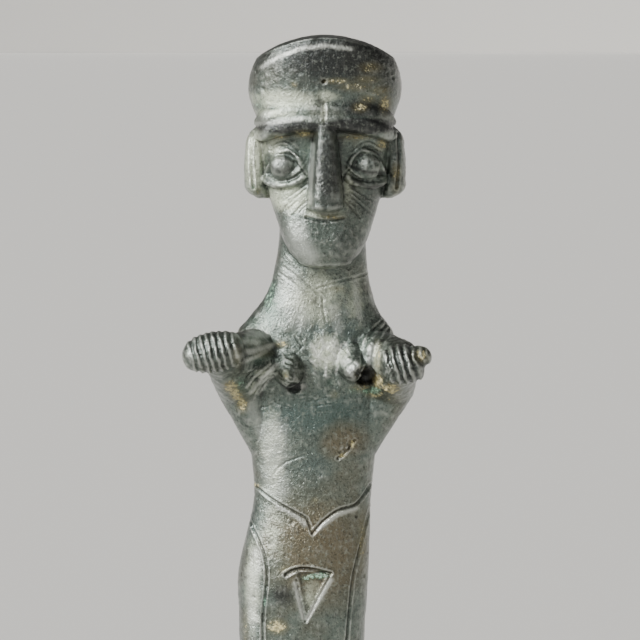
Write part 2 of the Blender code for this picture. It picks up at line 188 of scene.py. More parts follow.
plate_low, plate_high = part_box("figurine")
PLATE_THICKNESS = 5.0
PLATE_CORNER_RADIUS = 3.0
PLATE_EDGE_RADIUS = 0.8
UPRIGHT = 1.0  # an edge that rises more than this is an upright one
slab = bmesh.new()
slab_size = ((plate_high.x - plate_low.x) / MM, (plate_high.y - plate_low.y) / MM, PLATE_THICKNESS)
slab_place = Matrix.Translation((0, 0, -PLATE_THICKNESS / 2)) @ Matrix.Diagonal((*slab_size, 1))
bmesh.ops.create_cube(slab, size=1, matrix=slab_place)
corners = [edge for edge in slab.edges if abs(edge.verts[0].co.z - edge.verts[1].co.z) > UPRIGHT]
bmesh.ops.bevel(
    slab, geom=corners, offset=PLATE_CORNER_RADIUS, segments=8, profile=0.5, affect="EDGES", material=-1
)
rim = [edge for edge in slab.edges if abs(edge.verts[0].co.z - edge.verts[1].co.z) < UPRIGHT]
bmesh.ops.bevel(
    slab, geom=rim, offset=PLATE_EDGE_RADIUS, segments=4, profile=0.5, affect="EDGES", material=-1
)
press_on(slab)


# The head. An egg of wax for face and skull, pressed on the long neck, with a broad round chin that
# overhangs it and a flattened front that takes the face.

FACE_X = 2.5
EYE_Z = 125.0
EYE_LEVEL = (9.9, -7.7, 9.6)  # the head's half width, front and back there
FACE_SQUARENESS = 3.0
taper(
    [
        (109.2, FACE_X, 0.4, -6.4, -5.4),
        (109.6, FACE_X, 2.6, -7.5, -2.6),
        (110.8, FACE_X, 4.5, -8.3, 0.4),
        (112.9, FACE_X, 6.1, -8.8, 3.8),
        (116.6, FACE_X, 7.5, -8.6, 6.6),
        (119.3, FACE_X, 8.35, -8.1, 8.2),
        (121.4, FACE_X, 9.1, -7.8, 9.0),
        (EYE_Z, FACE_X, *EYE_LEVEL),
        (129.0, FACE_X, 10.4, -7.8, 9.8),
        (133.0, FACE_X, 10.1, -8.3, 9.3),
    ],
    squareness=FACE_SQUARENESS,
)


# The flat cap. Its lower band rolls out from the forehead in a cove, the front stands upright, and the
# crown is a shallow vault with a crisp arched rim in front.

CAP_HALF_WIDTH = 11.8
CAP_VAULT_RISE = 3.9
CAP_VAULT_START_Z = 134.5
CAP_VAULT_SPAN = 5.0


def vaulted(point):
    """The same point with the cap's top raised along its middle, front to back."""
    share = min(1.0, max(0.0, (point.z - CAP_VAULT_START_Z) / CAP_VAULT_SPAN))
    arch = 1 - ((point.x - FACE_X) / CAP_HALF_WIDTH) ** 2
    return Vector((point.x, point.y, point.z + CAP_VAULT_RISE * share * share * (3 - 2 * share) * arch))


taper(
    [
        (129.6, FACE_X, 10.0, -8.2, 9.4),
        (131.0, FACE_X, 10.35, -9.1, 9.7),
        (132.4, FACE_X, 10.65, -10.0, 10.0),
        (133.6, FACE_X, 11.1, -10.2, 10.3),
        (135.0, FACE_X, 11.6, -10.0, 10.6),
        (136.6, FACE_X, 11.85, -10.15, 10.7),
        (138.0, FACE_X, 11.75, -10.3, 10.7),
        (139.5, FACE_X, 11.35, -10.25, 10.5),
        (140.4, FACE_X, 10.75, -10.0, 10.1),
        (140.85, FACE_X, 9.9, -9.35, 9.3),
        (141.0, FACE_X, 8.0, -7.3, 7.4),
        (141.15, FACE_X, 4.0, -3.6, 3.7),
        (141.2, FACE_X, 0.3, -0.3, 0.3),
    ],
    squareness=2.5,
    place=vaulted,
)


# Brow and nose. One bar of wax across for both brows and one down for the nose, pressed on as a T, and a
# fillet of wax that closes the corner between the brow and the cap.

sideways = Matrix(((0, 0, 1, FACE_X), (0, 1, 0, 0), (-1, 0, 0, 0), (0, 0, 0, 1)))
taper(
    [  # along X: centre height (negative), half height, front, back
        (-11.0, -129.7, 0.3, -5.0, -4.2),
        (-10.1, -130.0, 1.1, -7.2, -3.0),
        (-7.5, -131.0, 1.5, -9.5, -5.0),
        (-4.0, -131.7, 1.55, -10.5, -6.0),
        (0.0, -131.9, 1.45, -10.8, -6.0),
        (4.0, -131.7, 1.55, -10.5, -6.0),
        (7.5, -131.0, 1.5, -9.5, -5.0),
        (10.1, -130.0, 1.1, -7.2, -3.0),
        (11.0, -129.7, 0.3, -5.0, -4.2),
    ],
    squareness=2.8,
    place=lambda point: sideways @ point,
)
taper(
    [  # the fillet above it, which runs the brow's top into the band of the cap
        (-10.9, -131.7, 0.3, -5.0, -4.2),
        (-10.0, -132.1, 1.2, -7.0, -3.0),
        (-7.5, -132.8, 1.7, -9.1, -5.0),
        (-4.0, -133.2, 1.8, -10.2, -6.0),
        (0.0, -133.4, 1.8, -10.5, -6.0),
        (4.0, -133.2, 1.8, -10.2, -6.0),
        (7.5, -132.8, 1.7, -9.1, -5.0),
        (10.0, -132.1, 1.2, -7.0, -3.0),
        (10.9, -131.7, 0.3, -5.0, -4.2),
    ],
    squareness=2.4,
    place=lambda point: sideways @ point,
)
taper(
    [
        (118.2, FACE_X, 1.5, -10.9, -6.0),
        (118.6, FACE_X, 2.4, -12.0, -6.0),
        (119.8, FACE_X, 2.7, -12.4, -6.0),
        (123.0, FACE_X, 2.45, -12.1, -6.0),
        (127.0, FACE_X, 2.05, -11.6, -6.0),
        (131.5, FACE_X, 1.6, -11.0, -6.0),
    ],
    squareness=4.5,
    narrowing=0.35,
)


# Eyes. A small ball for each eye, ringed by thin rolls of wax: an upper lid, a lower lid and a bag below
# it.

EYE_APART = 6.4
LIDS = (
    # rise in the middle, half the length, height of the ends, droop of the outer end, radius
    (3.1, 2.8, -0.65, 0.85, 0.36),
    (-0.95, 2.8, -0.75, 0.75, 0.34),
    (-1.0, 3.0, -1.8, 0.2, 0.56),
)
LID_FULLNESS = 2.6  # 2 is a parabola, and more is a flatter arch with rounder ends


def limb(start, end, start_radius, end_radius, segments=32):
    """A tapered rod of wax with round ends: a ball whose upper half is drawn away from the lower."""
    start, end = Vector(start), Vector(end)
    form = bmesh.new()
    bmesh.ops.create_uvsphere(form, u_segments=segments, v_segments=segments // 2, radius=1)
    length = (end - start).length
    for vert in form.verts:
        if vert.co.z > 1e-4:
            vert.co = vert.co * end_radius + Vector((0, 0, length))
        else:
            vert.co = vert.co * start_radius
    turn = (end - start).to_track_quat("Z", "Y").to_matrix().to_4x4()
    bmesh.ops.transform(form, matrix=Matrix.Translation(start) @ turn, verts=form.verts)
    press_on(form)


def roll(points, radius):
    """A thin roll of wax laid along the points."""
    for start, end in zip(points, points[1:]):
        limb(start, end, radius, radius, segments=12)


def face_front(across):
    """Where the front of the face lies, at the height of the eyes and this far from the midline."""
    half_width, front, back = EYE_LEVEL
    middle = (front + back) / 2
    bulge = (1 - abs(across / half_width) ** FACE_SQUARENESS) ** (1 / FACE_SQUARENESS)
    return middle + (front - middle) * bulge


for side in (-1, 1):
    egg((FACE_X + side * EYE_APART, -6.5, EYE_Z), (2.05, 1.5, 1.95))
    for bend, reach, ends, droop, radius in LIDS:
        line = []
        for along in np.linspace(-1, 1, 13):
            across = EYE_APART + along * reach
            height = EYE_Z + bend * (1 - abs(along) ** LID_FULLNESS) + ends - droop * along
            line.append((FACE_X + side * across, face_front(across) - 0.1, height))
        roll(line, radius)


# Ears. Flat tabs of wax, pressed on behind the cheeks so that they stand out sideways. The groove down
# each one is chased later with the other lines.

for side in (-1, 1):
    taper(
        [
            (119.9, FACE_X + side * 9.6, 0.9, -2.2, 1.6),
            (120.8, FACE_X + side * 10.3, 1.6, -3.6, 2.6),
            (123.4, FACE_X + side * 10.7, 1.75, -4.2, 3.2),
            (127.0, FACE_X + side * 10.6, 1.75, -4.2, 3.4),
            (130.0, FACE_X + side * 10.1, 1.5, -3.6, 3.0),
            (131.2, FACE_X + side * 9.6, 0.8, -2.4, 2.0),
        ],
        squareness=2.6,
    )


# Breasts. Two small cones, the one on the left of the front view lower and with a nub for a nipple, and a
# fold of wax that runs from it to the flank.

limb((-3.3, -3.0, 94.2), (-2.8, -7.0, 92.5), 3.3, 1.55)
limb((7.0, -3.0, 94.9), (7.2, -7.3, 93.8), 3.6, 1.9)
egg((-3.2, -8.2, 92.7), (0.65, 0.6, 0.8), 20.0)
limb((-5.9, -4.6, 93.8), (-9.8, -3.0, 90.0), 1.3, 1.0)


# Arms and fists. Each arm hangs from the shoulder to a thick elbow and reaches forward. The fingers are
# ridges pinched side by side across the fist, with the tip of the thumb as a knob at the outer end. Left
# and right are those of the front view.

FINGER_LEAN = 15.0
FISTS = {
    # side: (wrist, middle of the row of fingers, how many, their pitch, tilt of the row)
    "left": ((-13.2, -8.6, 96.0), (-14.3, -12.4, 97.2), 8, 0.95, 12.0),
    "right": ((13.9, -8.6, 95.4), (14.2, -12.4, 95.3), 5, 1.05, 8.0),
}
THUMBS = (((-17.9, -12.2, 96.3), (1.3, 1.7, 1.9), 12.0), ((16.9, -12.7, 96.6), (1.9, 1.8, 1.6), -20.0))
for side, shoulder, elbow, flank in (
    ("left", (-6.4, -0.4, 95.4), (-10.0, 0.2, 90.6), (-6.0, 1.0, 80.5)),
    ("right", (8.8, -0.4, 95.6), (12.3, 0.2, 91.0), (7.9, 1.0, 81.5)),
):
    wrist, middle, fingers, pitch, tilt = FISTS[side]
    limb(elbow, flank, 4.5, 3.2)
    limb(elbow, wrist, 4.5, 3.2)
    limb(shoulder, wrist, 4.4, 3.3)
    limb(wrist, middle, 3.0, 2.7)
    row = Vector((math.cos(math.radians(tilt)), 0, math.sin(math.radians(tilt))))
    half_row = fingers / 2 * pitch + 0.5
    for finger in range(fingers):
        along = (finger - (fingers - 1) / 2) * pitch
        roundness = math.sqrt(1 - 0.7 * (along / half_row) ** 2)
        egg(Vector(middle) + row * along, (1.1, 3.2 * roundness, 3.2 * roundness), FINGER_LEAN)
for centre, radii, tilt in THUMBS:
    egg(centre, radii, tilt)


# The casting. The pressed forms melt into one skin, as the founder smooths the wax before it is invested,
# and the bronze takes that skin in one piece.

SKIN_CELL = 0.17
SMOOTHING_PASSES = 5
bmesh.ops.transform(
    wax, matrix=Matrix.Scale(MM, 4) @ Matrix.Translation((0, 0, PLATE_THICKNESS)), verts=wax.verts
)
wax_mesh = bpy.data.meshes.new("wax")
wax.to_mesh(wax_mesh)
wax.free()
figure = bpy.data.objects.new("cast_figure", wax_mesh)
bpy.context.scene.collection.objects.link(figure)


def settle(piece):
    """Applies the piece's modifiers to its mesh."""
    graph = bpy.context.evaluated_depsgraph_get()
    mesh = bpy.data.meshes.new_from_object(piece.evaluated_get(graph))
    piece.modifiers.clear()
    piece.data = mesh


melt = figure.modifiers.new("one skin", "REMESH")
melt.mode = "VOXEL"
melt.voxel_size = SKIN_CELL * MM
seams = figure.modifiers.new("soft seams", "SMOOTH")
seams.factor = 0.5
seams.iterations = SMOOTHING_PASSES
settle(figure)


# The chasing and the wear. Lines were cut into the cold bronze with a graver, and the surface has the
# small swells, pits and scratches of an old casting.

def read_skin(name):
    """The skin's points or normals as a table."""
    values = np.empty(len(figure.data.vertices) * 3, np.float32)
    figure.data.vertices.foreach_get(name, values)
    return values.reshape(-1, 3).astype(float)


skin = read_skin("co") / MM - np.array((0, 0, PLATE_THICKNESS))
outward = read_skin("normal")
rise = np.zeros(len(skin))


def turned_front(limit):
    """1 on the front of the skin, falling to 0 where the normal's share along Y passes the limit."""
    return np.clip((limit - outward[:, 1]) / 0.4, 0, 1)


facing = turned_front(0.15)


def away_from(points):
    """How far each part of the front is from a line drawn through these places."""
    nearest = np.full(len(skin), np.inf)
    for (x0, z0), (x1, z1) in zip(points, points[1:]):
        dx, dz = x1 - x0, z1 - z0
        along = np.clip(((skin[:, 0] - x0) * dx + (skin[:, 2] - z0) * dz) / (dx * dx + dz * dz), 0, 1)
        gap = np.hypot(skin[:, 0] - x0 - along * dx, skin[:, 2] - z0 - along * dz)
        nearest = np.minimum(nearest, gap)
    return nearest


def softly(points):
    """The same line with its corners rounded: two rounds of corner cutting."""
    for _ in range(2):
        cut = [points[0]]
        for (x0, z0), (x1, z1) in zip(points, points[1:]):
            cut.append((0.75 * x0 + 0.25 * x1, 0.75 * z0 + 0.25 * z1))
            cut.append((0.25 * x0 + 0.75 * x1, 0.25 * z0 + 0.75 * z1))
        points = [*cut, points[-1]]
    return points


BURR_HEIGHT = 0.3  # as a share of the line's depth
BURR_PLACE = 1.4  # from the middle of the line, in half widths
BURR_HALF_WIDTH = 0.5


def chase(points, half_width, depth):
    """Cuts a line into the front of the figure, with the burr that a graver raises at both sides."""
    away = away_from(points)
    groove = -depth * np.clip(1 - (away / half_width) ** 2, 0, 1)
    from_burr = (away - BURR_PLACE * half_width) / (BURR_HALF_WIDTH * half_width)
    burr = BURR_HEIGHT * depth * np.clip(1 - from_burr**2, 0, 1)
    rise[:] = np.where(away < half_width, np.minimum(rise, groove * facing), rise + burr * facing)


GIRDLE_POINT = (0.55, 68.0)
GIRDLE_LEFT = [(-9.4, 75.4), (-8.3, 74.8), (-5.6, 73.0), (-2.4, 71.4), (-0.4, 70.4)]
GIRDLE_RIGHT = [(2.1, 69.8), (4.4, 71.6), (6.2, 71.9), (7.6, 72.3), (9.6, 75.0)]
HIP_LEFT = [
    (-9.6, 69.6),
    (-7.9, 66.6),
    (-6.9, 64.4),
    (-6.5, 61.6),
    (-6.8, 58.4),
    (-7.4, 54.0),
    (-7.0, 42.0),
]
HIP_RIGHT = [
    (9.5, 71.0),
    (8.7, 68.2),
    (7.6, 63.9),
    (6.8, 60.6),
    (6.4, 56.6),
    (6.0, 52.0),
    (5.4, 42.0),
]
DELTA_EDGE = [(-3.6, 61.5), (-2.2, 62.4), (0.2, 62.5), (3.3, 61.6)]
chase(softly(GIRDLE_LEFT) + [GIRDLE_POINT], 0.26, 0.19)
chase([GIRDLE_POINT] + softly(GIRDLE_RIGHT), 0.3, 0.24)
chase(softly(HIP_LEFT), 0.28, 0.22)
chase(softly(HIP_RIGHT), 0.28, 0.22)
chase(softly(DELTA_EDGE), 0.36, 0.38)
DELTA_TOP, DELTA_TIP, DELTA_DEPTH = 61.6, 54.0, 0.3
down = np.clip((DELTA_TOP - skin[:, 2]) / (DELTA_TOP - DELTA_TIP), 0, 1)
from_left, from_right = skin[:, 0] - (-2.0 + 1.4 * down), (3.2 - 3.8 * down) - skin[:, 0]
in_delta = np.clip(from_left / 0.5, 0, 1) * np.clip(from_right / 0.5, 0, 1)
in_delta *= (skin[:, 2] < DELTA_TOP + 0.4) & (skin[:, 2] > DELTA_TIP - 0.4)
rise -= DELTA_DEPTH * in_delta * (1 - 0.8 * down) * facing
for line, half_width, depth in (
    ([(-2.0, DELTA_TOP - 0.9), (-0.6, DELTA_TIP)], 0.25, 0.14),  # the sides of the delta
    ([(3.2, DELTA_TOP - 0.4), (-0.5, DELTA_TIP)], 0.25, 0.14),
    (softly([(-5.4, 77.2), (-4.6, 78.4), (-2.9, 79.5), (-0.6, 80.3)]), 0.22, 0.08),  # on the belly
    (softly([(-3.9, 109.3), (-1.4, 107.7), (2.3, 104.4)]), 0.24, 0.11),  # the folds of the neck
    (softly([(-4.6, 108.4), (-1.9, 106.6), (1.6, 103.6)]), 0.22, 0.08),
    (softly([(8.8, 108.1), (4.8, 107.2), (1.1, 106.1)]), 0.24, 0.1),
    (softly([(2.1, 104.6), (2.2, 102.6), (2.6, 100.8)]), 0.22, 0.09),
    (softly([(FACE_X - 2.9, 117.4), (FACE_X - 0.2, 116.7), (FACE_X + 2.7, 117.3)]), 0.3, 0.16),  # the mouth
    ([(FACE_X - 0.2, 134.8), (FACE_X - 0.1, 131.8)], 0.3, 0.1),  # the middle of the cap's band
    ([(4.5, 79.7), (5.3, 80.2), (6.0, 81.0)], 0.3, 0.2),  # a flaw in the belly
    ([(6.3, 81.2), (6.6, 81.8), (7.1, 82.4)], 0.3, 0.2),
):
    chase(line, half_width, depth)
for line in (  # the lines of the cheeks
    [(-0.5, 121.7), (-2.6, 119.9), (-4.6, 117.8)],
    [(-0.2, 122.5), (-2.2, 121.0), (-4.0, 119.8)],
    [(0.0, 120.1), (-1.2, 119.1), (-2.6, 117.6)],
    [(5.9, 120.9), (7.9, 119.4), (9.9, 117.3)],
    [(6.2, 122.2), (8.4, 120.6), (10.4, 119.4)],
    [(5.6, 119.7), (6.6, 118.7), (7.9, 117.2)],
):
    chase(softly(line), 0.22, 0.09)
for side in (-1, 1):
    ear_groove = [(11.2, 130.0), (11.5, 126.0), (11.0, 121.6)]
    chase(softly([(FACE_X + side * across, z) for across, z in ear_groove]), 0.3, 0.3)
    chase([(FACE_X + side * 3.0, 124.0), (FACE_X + side * 4.8, 125.9)], 0.2, 0.12)  # the eye's inner corner
    chase([(FACE_X + side * 3.0, 126.0), (FACE_X + side * 4.6, 124.2)], 0.2, 0.08)
    for out in (0.75, 1.45):  # fine lines over the upper lid
        lid_line = [(EYE_APART - 2.4, 1.0 + out), (EYE_APART, 2.9 + out), (EYE_APART + 2.0, 1.6 + out)]
        chase(softly([(FACE_X + side * across, EYE_Z + up) for across, up in lid_line]), 0.2, 0.08)


def ripple(size, seed):
    """Cloudy swells about this many millimetres across, from -1 to 1, over the whole skin."""
    shift = Vector((seed * 7.3, seed * 3.1, seed * 5.7))
    return np.array([noise.noise(Vector(point) / size + shift) for point in skin])


dice = np.random.default_rng(11)
for middle_x, middle_z, spread_x, spread_z, count, slope in (  # groups of short scratches
    (1.5, 95.5, 6.0, 3.5, 26, -0.6),
    (-7.6, 92.0, 2.4, 2.0, 14, 0.8),
    (11.0, 93.4, 1.4, 3.0, 8, 1.6),
    (0.0, 89.0, 7.0, 1.2, 6, 0.1),
    (-2.6, 120.0, 2.2, 1.6, 5, 0.8),
    (8.2, 120.0, 2.2, 1.8, 5, -0.8),
):
    for _ in range(count):
        x, z = middle_x + spread_x * dice.uniform(-1, 1), middle_z + spread_z * dice.uniform(-1, 1)
        slant = math.atan(slope) + dice.normal(0, 0.25)
        reach = dice.uniform(0.5, 1.6)
        sag = dice.uniform(-0.15, 0.15)
        dx, dz = reach * math.cos(slant), reach * math.sin(slant)
        scratch = [(x - dx, z - dz), (x + sag * dz, z - sag * dx), (x + dx, z + dz)]
        chase(scratch, 0.2, dice.uniform(0.04, 0.1))

fold_angles = [math.radians(angle) for angle in range(125, 236, 10)]
for radius, depth in ((5.3, 0.12), (6.2, 0.16), (7.2, 0.12)):  # folds round the right wrist
    fold = [(15.4 + radius * math.cos(a), 95.4 + 0.9 * radius * math.sin(a)) for a in fold_angles]
    chase(fold, 0.28, depth)

KNUCKLE_HEIGHT = 0.08
FIST_REACH = 5.0
lean = math.radians(FINGER_LEAN)
knuckle = np.zeros(len(skin))
shiver = ripple(1.5, 4)
for side, shift in (("left", 0.5), ("right", 0.0)):
    _, middle, _, pitch, _ = FISTS[side]
    from_fist = skin - np.array(middle)
    along_row = from_fist[:, 0] * math.cos(lean) + from_fist[:, 2] * math.sin(lean)
    row_place = along_row / pitch + shift + 0.35 * shiver
    on_fist = np.clip((FIST_REACH - np.linalg.norm(from_fist, axis=1)) / 0.8, 0, 1)
    on_fist *= np.clip((1.0 - from_fist[:, 1]) / 2.0, 0, 1)
    knuckle += on_fist * (2 * (0.5 + 0.5 * np.cos(2 * math.pi * row_place)) ** 2 - 1)
rise += KNUCKLE_HEIGHT * knuckle * (0.8 + 0.8 * shiver)

above_plate = np.clip(skin[:, 2] / 1.5 + 1.0, 0, 1)
seen = np.clip((skin[:, 2] - 44.0) / 6.0, 0, 1) * turned_front(0.5)  # what the photograph shows
on_cap = np.clip((skin[:, 2] - 134.0) / 2.0, 0, 1)
on_chest = np.clip(1.3 - np.abs(skin[:, 2] - 95.0) / 8.0, 0, 1) * seen
from_midline = np.abs(skin[:, 0] - FACE_X)
on_ear = np.clip((from_midline - 9.8) / 0.6, 0, 1) * (np.abs(skin[:, 2] - 125.5) < 5.5) * seen
on_face = np.clip(1.5 - np.hypot(from_midline / 9.0, (skin[:, 2] - 122.0) / 8.0), 0, 1) * seen
rise += 0.08 * ripple(5.0, 1) * above_plate
rise += (0.04 + 0.12 * on_chest) * ripple(1.7, 2) * above_plate
roughness = 0.012 + 0.03 * seen + 0.03 * on_cap + 0.04 * on_chest + 0.05 * on_ear + 0.03 * on_face
rise += roughness * ripple(0.7, 3) * above_plate

tree = kdtree.KDTree(len(skin))
for index, point in enumerate(skin):
    tree.insert(point, index)
tree.balance()


def pit(centre, radius, depth):
    """Sinks a small pit, as gas in the metal or corrosion leaves."""
    for _, index, gap in tree.find_range(centre, radius):
        rise[index] -= depth * (1 - (gap / radius) ** 2)


PIT_TRIES = 1100
PITS_FROM_Z = -4  # the foot of the plate stays plain
for index in dice.choice(len(skin), PIT_TRIES, replace=False):
    likely = 0.35 + 0.65 * on_cap[index]
    if dice.random() < likely and skin[index, 2] > PITS_FROM_Z:
        pit(skin[index], dice.uniform(0.25, 0.5), dice.uniform(0.04, 0.14))
for x, y, z, radius, depth in (
    (FACE_X - 0.2, -10.1, 138.0, 0.45, 0.5),
    (5.0, -4.9, 80.6, 0.45, 0.25),
    (5.5, -4.8, 81.0, 0.4, 0.25),
    (6.2, -4.6, 81.9, 0.4, 0.25),
    (6.5, -4.5, 82.3, 0.35, 0.2),
    (-8.6, -3.6, 57.6, 0.4, 0.25),
    (-8.2, -3.6, 56.6, 0.35, 0.2),
    (-6.2, -4.8, 66.2, 0.45, 0.2),
    (2.6, -5.6, 53.9, 0.4, 0.25),
):
    pit((x, y, z), radius, depth)

for x, z, radius, depth in (  # hollows beside the breasts and under the arms
    (8.6, 92.8, 1.9, 1.1),
    (-2.3, 90.9, 1.2, 0.5),
    (-5.6, 96.6, 1.6, 0.3),
    (3.4, 91.4, 1.2, 0.2),
):
    away = np.hypot(skin[:, 0] - x, skin[:, 2] - z) / radius
    rise -= depth * np.clip(1 - away**2, 0, 1) * facing

skin += outward * rise[:, None]
plate_half = (slab_size[0] / 2, slab_size[1] / 2)
skin[:, 0] = np.clip(skin[:, 0], -plate_half[0], plate_half[0])
skin[:, 1] = np.clip(skin[:, 1], -plate_half[1], plate_half[1])
UNDERSIDE_RUB = 0.12  # how much is rubbed off to make the underside flat
skin[skin[:, 2] < UNDERSIDE_RUB - PLATE_THICKNESS, 2] = -PLATE_THICKNESS
skin[:, 2] = np.clip(skin[:, 2], -PLATE_THICKNESS, plate_high.z / MM - PLATE_THICKNESS)
chased = (skin + np.array((0, 0, PLATE_THICKNESS))) * MM
figure.data.vertices.foreach_set("co", chased.astype(np.float32).ravel())
figure.data.update()
figure.data.calc_loop_triangles()
MOST_TRIANGLES = 190000
fewer = figure.modifiers.new("fewer faces", "DECIMATE")
fewer.ratio = min(1.0, MOST_TRIANGLES / len(figure.data.loop_triangles))
settle(figure)
figure.data.shade_smooth()


# The surface's history, with painted light in it. The patina isn't the same all over: it is black in
# places, pale and chalky on the brow, blue-green on the chest and olive-brown on the hips. Hollows hold
# ochre soil and verdigris. The same masks also paint light: painted shade in the creases, beside the
# breasts and on the right of the face, and painted highlights on edges, on the left side, the neck and the
# chest.

skin = read_skin("co") / MM - np.array((0, 0, PLATE_THICKNESS))
outward = read_skin("normal")
facing = turned_front(0.25)
edges = np.empty(len(figure.data.edges) * 2, np.int32)
figure.data.edges.foreach_get("vertices", edges)
edge_ends = edges.reshape(-1, 2).T
neighbours = np.bincount(edges, minlength=len(skin))


def spread(values, passes):
    """Averages each point's values with its neighbours', again and again."""
    columns = []
    for column in values.T:
        for _ in range(passes):
            total = np.bincount(edge_ends[0], column[edge_ends[1]], len(skin))
            total += np.bincount(edge_ends[1], column[edge_ends[0]], len(skin))
            column = (column + total / neighbours) / 2
        columns.append(column)
    return np.column_stack(columns)


FINE_PASSES, BROAD_PASSES = 8, 60
CREASE, CREASE_RANGE = 0.025, 0.06  # how sunk a crease, or how proud an edge, starts to show, in mm
fine = ((spread(skin, FINE_PASSES) - skin) * outward).sum(axis=1)
broad = ((spread(skin, BROAD_PASSES) - skin) * outward).sum(axis=1)
# Painted shade: the first mask darkens fine creases and broad hollows, where shade falls.
crease_shade = np.clip((fine - CREASE) / CREASE_RANGE, 0, 1) * 0.8 + np.clip((broad - 0.25) / 0.9, 0, 1) * 0.15
# Proud edges get lighter, partly as wear and partly as painted highlight.
wear_and_highlight = np.clip((-fine - CREASE) / CREASE_RANGE, 0, 1) * 0.5

# Pale chalky patina on the cap's band, the ears and the mouth, and painted highlights on the left cheek,
# the neck,
# the chest, the right breast, the left flank and the left thigh.
PALE_AND_HIGHLIGHTS = (  # x, z, half width, half height, strength
    (-4.2, 135.3, 5.0, 1.3, 0.82),
    (2.9, 135.9, 1.6, 0.8, 0.6),
    (-5.4, 133.3, 3.8, 0.7, 0.6),
    (2.3, 133.2, 0.5, 1.4, 0.7),
    (-3.4, 120.2, 3.2, 2.0, 0.85),
    (-5.5, 127.8, 1.8, 1.6, 0.5),
    (-8.6, 126.2, 1.6, 5.2, 0.85),
    (5.9, 122.0, 0.8, 3.0, 0.4),
    (2.2, 118.0, 3.2, 0.7, 0.6),
    (0.8, 104.5, 4.2, 4.2, 0.5),
    (2.6, 96.3, 2.2, 2.6, 0.78),
    (7.0, 104.0, 1.5, 4.0, 0.34),
    (5.0, 96.2, 1.6, 0.9, 0.45),
    (-3.6, 93.2, 0.45, 0.55, 1.2),
    (-6.8, 93.4, 1.6, 1.2, 0.5),
    (-8.6, 90.7, 1.0, 1.6, 0.45),
    (10.4, 95.6, 0.5, 2.6, 0.7),
    (0.5, 58.4, 1.4, 2.2, 0.45),
    (-8.2, 98.0, 1.6, 0.9, 0.35),
    (-5.6, 80.0, 1.8, 7.0, 0.4),
    (-8.8, 59.5, 1.2, 6.5, 0.6),
    (-5.6, 68.0, 1.4, 4.0, 0.35),
)
# Black patina on the cap, brow, nose and fists, and painted shade beside and under both breasts, under the
# right brow,
# round the right eye, on the right cheek, jaw and neck, and on the right of the cap.
BLACK_AND_SHADE = (
    (4.4, 141.6, 13.0, 4.4, 0.85),
    (8.6, 133.9, 4.4, 1.6, 0.8),
    (-3.0, 131.2, 5.2, 0.9, 1.5),
    (8.0, 131.3, 5.8, 1.1, 1.5),
    (2.3, 138.0, 0.4, 0.4, 1.3),
    (2.7, 125.0, 2.5, 7.4, 0.78),
    (-14.7, 97.2, 4.8, 3.8, 0.42),
    (15.2, 95.7, 4.6, 3.8, 0.6),
    (-7.8, 97.6, 3.0, 1.6, 0.3),
    (-2.2, 91.0, 1.7, 0.75, 1.25),
    (-1.6, 93.4, 1.2, 1.6, 0.6),
    (-7.4, 94.5, 1.9, 0.8, 0.9),
    (-3.9, 125.0, 1.9, 1.9, 0.5),
    (8.9, 125.0, 2.2, 2.4, 0.35),
    (12.4, 139.0, 2.4, 5.0, 0.6),
    (8.4, 92.9, 1.7, 1.7, 1.35),
    (6.8, 93.2, 1.7, 1.0, 1.2),
    (-4.2, 58.2, 1.9, 1.7, 0.75),
    (13.4, 125.0, 1.1, 4.6, 0.62),
    (9.6, 119.4, 2.6, 3.4, 0.5),
    (6.4, 113.0, 3.4, 4.0, 0.5),
)
BLUE = (
    (1.5, 86.6, 8.5, 3.2, 0.75),
    (0.6, 77.0, 2.4, 5.0, 0.5),
    (-8.8, 69.0, 1.2, 3.0, 0.4),
    (3.6, 100.0, 5.0, 3.0, 0.4),
)
BROWN = (
    (1.8, 65.5, 7.5, 9.0, 0.95),
    (5.4, 82.4, 3.6, 2.8, 0.9),
    (6.4, 77.0, 2.6, 4.0, 0.5),
    (10.0, 139.0, 3.0, 3.0, 0.35),
    (0.0, 24.0, 12.0, 22.0, 0.45),
)
